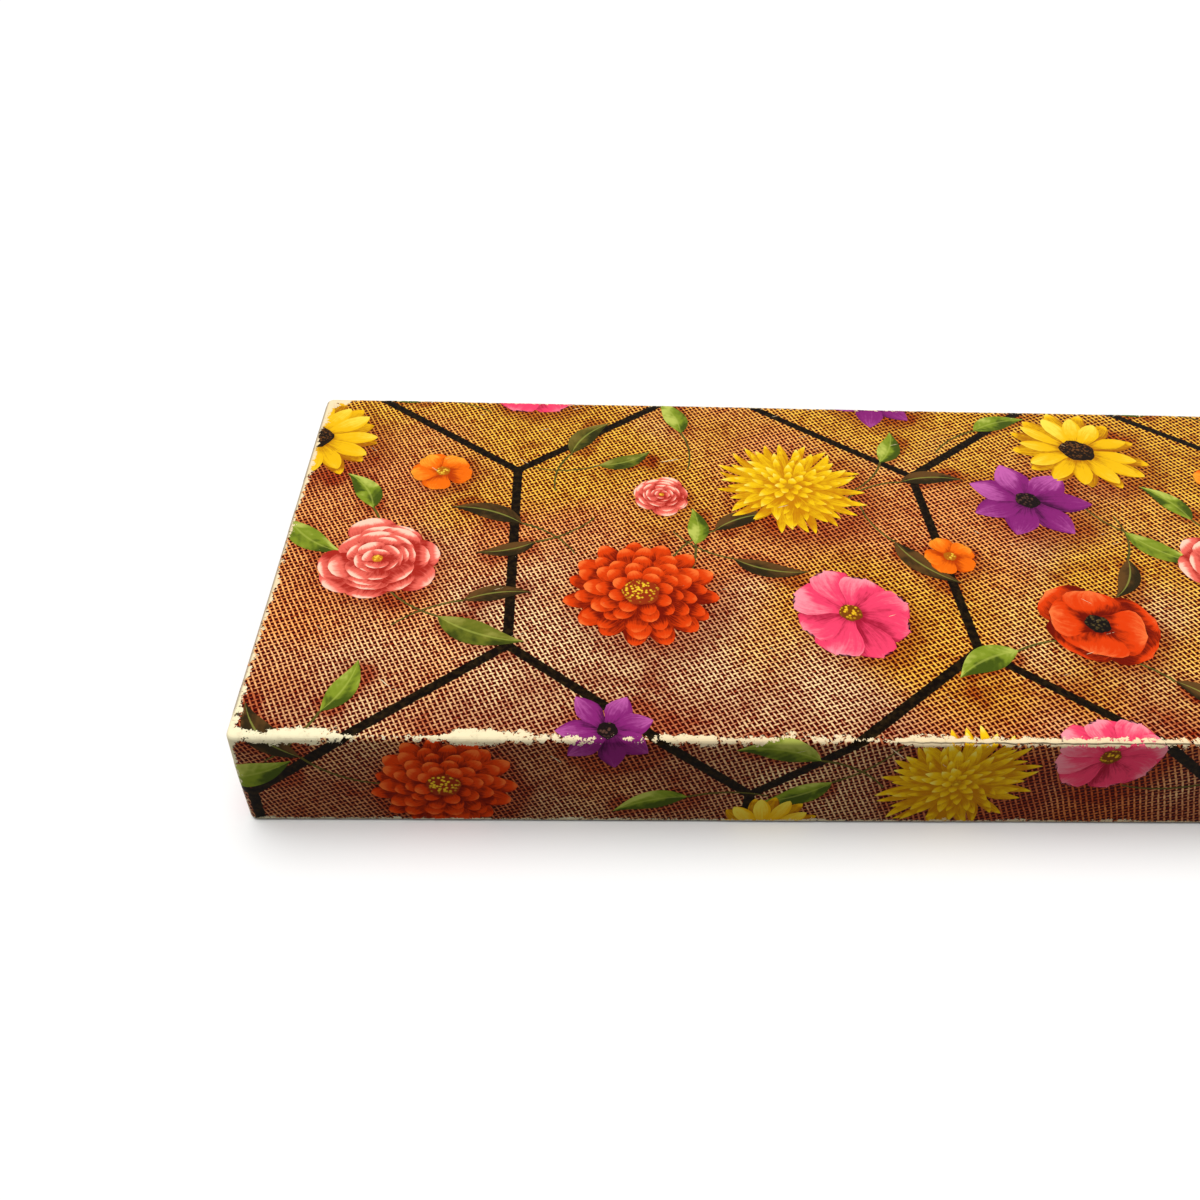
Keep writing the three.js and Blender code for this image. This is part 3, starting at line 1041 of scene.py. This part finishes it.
# Leaves as (x, y, heading in degrees, length, bend), each with a stem behind it.
leaf_bed = [
    (0.064, 0.078, 150, 0.022, 0.5), (0.068, 0.070, 205, 0.017, -0.4),
    (0.118, 0.076, 35, 0.020, -0.5), (0.112, 0.070, 80, 0.016, 0.4),
    (0.122, 0.064, -25, 0.021, 0.5), (0.044, 0.040, -30, 0.024, 0.4),
    (0.050, 0.046, 20, 0.018, -0.4), (0.022, 0.084, 110, 0.019, 0.5),
    (0.168, 0.072, -60, 0.023, 0.5), (0.176, 0.100, 15, 0.020, -0.5),
    (0.172, 0.110, 60, 0.018, 0.4), (0.236, 0.078, -50, 0.022, 0.5),
    (0.232, 0.066, -110, 0.019, -0.5), (0.190, 0.030, 200, 0.020, 0.4),
    (0.078, 0.112, 65, 0.021, -0.5), (0.086, 0.106, 15, 0.018, 0.5),
    (0.112, 0.124, 100, 0.019, 0.4), (0.136, -0.006, 160, 0.021, 0.5),
    (0.140, -0.014, 215, 0.018, -0.4), (0.106, -0.020, 190, 0.019, 0.4),
    (0.016, -0.006, 140, 0.022, -0.5), (0.020, 0.008, 60, 0.018, 0.4),
    (0.230, -0.014, 10, 0.021, 0.4), (0.226, 0.020, -40, 0.019, -0.5),
    (0.140, 0.144, 20, 0.021, 0.5), (0.034, 0.140, 170, 0.020, 0.4),
    (0.206, 0.128, 30, 0.020, -0.4), (0.196, 0.158, 80, 0.018, 0.4),
]

# A flower is drawn as rings of petals round a heart, each ring darker where the next lies over
# it, and a leaf as one blade on a thin stem. The pattern repeats over the whole sheet.
repeat_x = 0.236
repeat_y = 0.244
lit_from = (-0.45, 0.89)
petal_rows = 8
petal_columns = 5
wide_columns = 9
wide_petal = 0.2
ring_turn = 2.4
petal_shadow = 0.6
heart_rows = 6
heart_columns = 25
wobble_change = 900
blade_rows = 15
blade_columns = 5
leaf_half = 0.0034
leaf_length = 0.020
stem_half = 0.00035
stem_length = 0.020
leaf_shadow_shares = (0.2, 0.5, 0.8)
leaf_shadow_size = 0.21
chance = np.random.default_rng(11)


def repeated(x, y, radius):
    """Places on the flat sheet, from its middle, where a motif of the repeat shows."""
    reach_x, reach_y = flat_end + run_to_rim + radius, flat_side + run_to_rim + radius
    for across in range(-2, 3):
        for up in range(-2, 3):
            place_x = x - half_length + across * repeat_x
            place_y = y - half_width + up * repeat_y
            if abs(place_x) < reach_x and abs(place_y) < reach_y:
                yield place_x, place_y


def smooth(value, low, high):
    """0 below low, 1 above high, and smooth in between."""
    share = np.clip((value - low) / (high - low), 0, 1)
    return share * share * (3 - 2 * share)


def lay_flower(bed, kind, x, y, radius):
    """Lays a flower's rings of petals, the outermost first, and then its heart."""
    rings = kind["rings"]
    turn = chance.uniform(0, 2 * math.pi)
    line = np.linspace(0, 1, petal_rows)[None, :, None]
    along = 1 - (1 - line) ** 1.5
    past = np.clip((along - kind["shoulder"]) / (1 - kind["shoulder"]), 0, 0.995)
    widening = kind["neck"] + (1 - kind["neck"]) * smooth(along, 0, 0.6)
    narrowing = (1 - past ** 2) ** kind["point"]
    for ring, (count, inner, outer, half) in enumerate(rings):
        covered = rings[ring + 1][2] if ring + 1 < len(rings) else kind["heart_size"]
        columns = wide_columns if half > wide_petal else petal_columns
        across = np.linspace(-1, 1, columns)[None, None, :]
        number = np.arange(count)[:, None, None]
        key = chance.random((count, 1, 1))
        stretch = 1 + chance.normal(0, 0.4 * kind["stray"], (count, 1, 1))
        sway = chance.normal(0, kind["stray"], (count, 1, 1)) / count * 2 * math.pi
        teeth = kind["teeth"] * past ** 3 * np.abs(np.sin(across * math.pi * 1.5)) * np.abs(across)
        reach = inner + (outer * stretch - inner) * along - teeth
        half_here = half * (0.92 + 0.16 * key) * widening * narrowing
        angle = turn + ring * ring_turn + number / count * 2 * math.pi + sway
        angle = angle + kind["curl"] * (key - 0.5) * along ** 2
        ahead_x, ahead_y = np.cos(angle), np.sin(angle)
        place_x = x + radius * (reach * ahead_x - across * half_here * ahead_y)
        place_y = y + radius * (reach * ahead_y + across * half_here * ahead_x)
        lift = petal_lift + ring * ring_lift + petal_tilt * across
        paint = 0.42 + 0.38 * along + 0.14 * (ahead_x * lit_from[0] + ahead_y * lit_from[1])
        paint = paint * (0.40 + 0.60 * smooth(reach, covered - 0.02, covered + 0.13))
        paint = paint + kind["rim"] * smooth(along, 0.80, 1.0)
        tucked = np.clip(1 - math.pi * reach / count / np.maximum(half_here, 1e-3), 0, 0.8)
        under = 2 * tucked - 1 + petal_shadow - across
        paint = paint * (1 - 0.50 * smooth(under, 0, petal_shadow))
        bed.lay(place_x, place_y, lift, across, along, key, paint)
    lay_heart(bed, x, y, radius * kind["heart_size"], len(rings))


def lay_heart(bed, x, y, radius, rings):
    """Lays the rough disc in the middle of a flower, over its rings of petals."""
    along = np.linspace(0.02, 1, heart_rows)[None, :, None]
    turn = np.linspace(0, 2 * math.pi, heart_columns)[None, None, :]
    wobble = 1 + 0.05 * np.sin(turn * 5 + x * wobble_change) + 0.03 * np.sin(turn * 11)
    place_x = x + radius * along * wobble * np.cos(turn)
    place_y = y + radius * along * wobble * np.sin(turn)
    paint = 0.70 + 0.25 * along * (np.cos(turn) * lit_from[0] + np.sin(turn) * lit_from[1])
    paint = paint - 0.35 * along ** 4
    lift = petal_lift + rings * ring_lift
    bed.lay(place_x, place_y, lift, turn / math.pi - 1, along, 0.5, paint, 1.0)


def lay_blade(bed, x, y, heading, length, half, bend, lift, key, is_stem):
    """A leaf, or a stem that tapers a little, curving from its root to its tip."""
    along = np.linspace(0, 1, blade_rows)[None, :, None]
    across = np.linspace(-1, 1, blade_columns)[None, None, :]
    turn = heading + bend * (along - 0.3) * 1.6
    step = length / (blade_rows - 1) * (along > 0)
    ahead_x = np.cumsum(np.cos(turn) * step, 1)
    ahead_y = np.cumsum(np.sin(turn) * step, 1)
    if is_stem:
        width = half * (1.0 - 0.4 * along)
    else:
        width = half * (0.02 + np.sin(math.pi * along ** 0.8) ** 1.15)
    place_x = x + ahead_x - across * width * np.sin(turn)
    place_y = y + ahead_y + across * width * np.cos(turn)
    side_lit = -np.sin(turn) * lit_from[0] + np.cos(turn) * lit_from[1]
    paint = 0.52 + 0.30 * np.sign(side_lit) * np.tanh(across * 3)
    bed.lay(place_x, place_y, lift, across, along, key, paint, float(is_stem))


# Petals are inked from dark at the foot to light at the tip with fine veins, and hearts are
# dotted. Leaves are fresh green or a dry olive, with a paler midrib and side ribs.
petal_mottle_scale = 600.0
heart_dot_scale = 1100.0
heart_rough_scale = 1500.0
leaf_mottle_scale = 420.0
leaf_fresh_dark = (0.055, 0.085, 0.006)
leaf_fresh = (0.22, 0.29, 0.02)
leaf_fresh_light = (0.50, 0.55, 0.10)
leaf_olive_dark = (0.025, 0.016, 0.005)
leaf_olive = (0.12, 0.055, 0.014)
stem_green = (0.10, 0.085, 0.015)


def bloom_ink(petal_colors, heart_colors):
    """Ink for a kind of flower, from its dark, middle and light petal colours."""

    def ink(wire, flat):
        petal = wire.attribute("petal")
        across, along, key = petal.axis("X"), petal.axis("Y"), petal.axis("Z")
        grain = wire.node("CombineXYZ", None, {0: across * 5.0, 1: along * 1.3, 2: key * 40.0})
        veins = wire.noise(grain, 1.6, 3.0, 0.65)
        mottle = wire.noise(flat, petal_mottle_scale, 3.0, 0.6)
        tone = wire.attribute("paint", "Fac") + (veins - 0.5) * 0.55 + (mottle - 0.5) * 0.25
        tone = tone + (key - 0.5) * 0.22
        color = wire.mix(tone.between(0.10, 0.50), petal_colors[0], petal_colors[1])
        color = wire.mix(tone.between(0.55, 1.0), color, petal_colors[2])
        dots = wire.node("TexVoronoi", None, {"Vector": flat, "Scale": heart_dot_scale})
        rough = wire.noise(flat, heart_rough_scale, 2.0)
        lit = wire.attribute("paint", "Fac") + (rough - 0.5) * 0.6
        seeds = (1 - dots.between(0.25, 0.55)) * lit.between(0.2, 0.75)
        seeded = wire.mix(seeds, heart_colors[0], heart_colors[1])
        return wire.mix(wire.attribute("heart", "Fac"), color, seeded)

    return ink


def leaf_ink(wire, flat):
    petal = wire.attribute("petal")
    across, along, key = petal.axis("X"), petal.axis("Y"), petal.axis("Z")
    mottle = wire.noise(flat, leaf_mottle_scale, 3.0, 0.6)
    ribs = wire.math("SINE", (along * 9.0 - abs(across) * 1.6) * 2 * math.pi)
    sheen = wire.node("CombineXYZ", None, {0: across * 0.5, 1: along * 2.2, 2: key * 60.0})
    gleam = wire.noise(sheen, 1.0, 2.0, 0.5)
    tone = wire.attribute("paint", "Fac") + (mottle - 0.5) * 0.5 + ribs * 0.035
    tone = tone + (gleam - 0.5) * 2.0
    fresh = wire.mix(tone.between(0.15, 0.6), leaf_fresh_dark, leaf_fresh)
    fresh = wire.mix(tone.between(0.6, 1.05), fresh, leaf_fresh_light)
    olive = wire.mix(tone.between(0.2, 0.9), leaf_olive_dark, leaf_olive)
    color = wire.mix(key.between(0.30, 0.55), olive, fresh)
    midrib = 1 - abs(across).between(0.03, 0.12)
    color = wire.mix(midrib * 0.35, color, leaf_fresh_light)
    return wire.mix(wire.attribute("heart", "Fac"), color, stem_green)


inks = {}
for name, kind in flower_kinds.items():
    inks[name] = bloom_ink(kind["petal_colors"], kind["heart_colors"])
inks["leaves"] = leaf_ink
beds = {name: Bed() for name in inks}
shadows = []
for kind, at_x, at_y, radius in flower_bed:
    for x, y in repeated(at_x, at_y, radius):
        lay_flower(beds[kind], flower_kinds[kind], x, y, radius)
        shadows.append((x, y, radius))
for at_x, at_y, heading, length, bend in leaf_bed:
    heading = math.radians(heading)
    leaf_key = chance.random()
    half = leaf_half * length / leaf_length * (0.85 + 0.35 * leaf_key)
    for x, y in repeated(at_x, at_y, length):
        lay_blade(
            beds["leaves"], x, y, heading + math.pi, stem_length, stem_half, -bend,
            stem_lift, leaf_key, True
        )
        lay_blade(beds["leaves"], x, y, heading, length, half, bend, leaf_lift, leaf_key, False)
        for share in leaf_shadow_shares:
            shade_x = x + length * share * math.cos(heading)
            shade_y = y + length * share * math.sin(heading)
            shadows.append((shade_x, shade_y, length * leaf_shadow_size))

for name, bed in beds.items():
    piece = bed.build(f"print_{name}")
    piece.data.materials.append(varnished(f"{name}_print", inks[name]))
    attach(piece, "lid")

# The hessian is printed darker in the shade of each flower and leaf, which falls towards the
# front and to the right. Each point of the sheet keeps how deep that shade is.
shadow_depth = 0.75
shadow_right = 0.14
shadow_down = 0.20
shadow_edge = (0.78, 1.30)

for piece in lid_sheets:
    flat = vectors_of(piece.data.attributes["sheet"].data, "vector")
    shade = np.zeros(len(flat))
    for x, y, radius in shadows:
        off_x = flat[:, 0] - x - radius * shadow_right
        off_y = flat[:, 1] - y + radius * shadow_down
        off = np.hypot(off_x, off_y) / radius
        shade = np.maximum(shade, shadow_depth * (1 - smooth(off, *shadow_edge)))
    store(piece.data, "shade", shade)
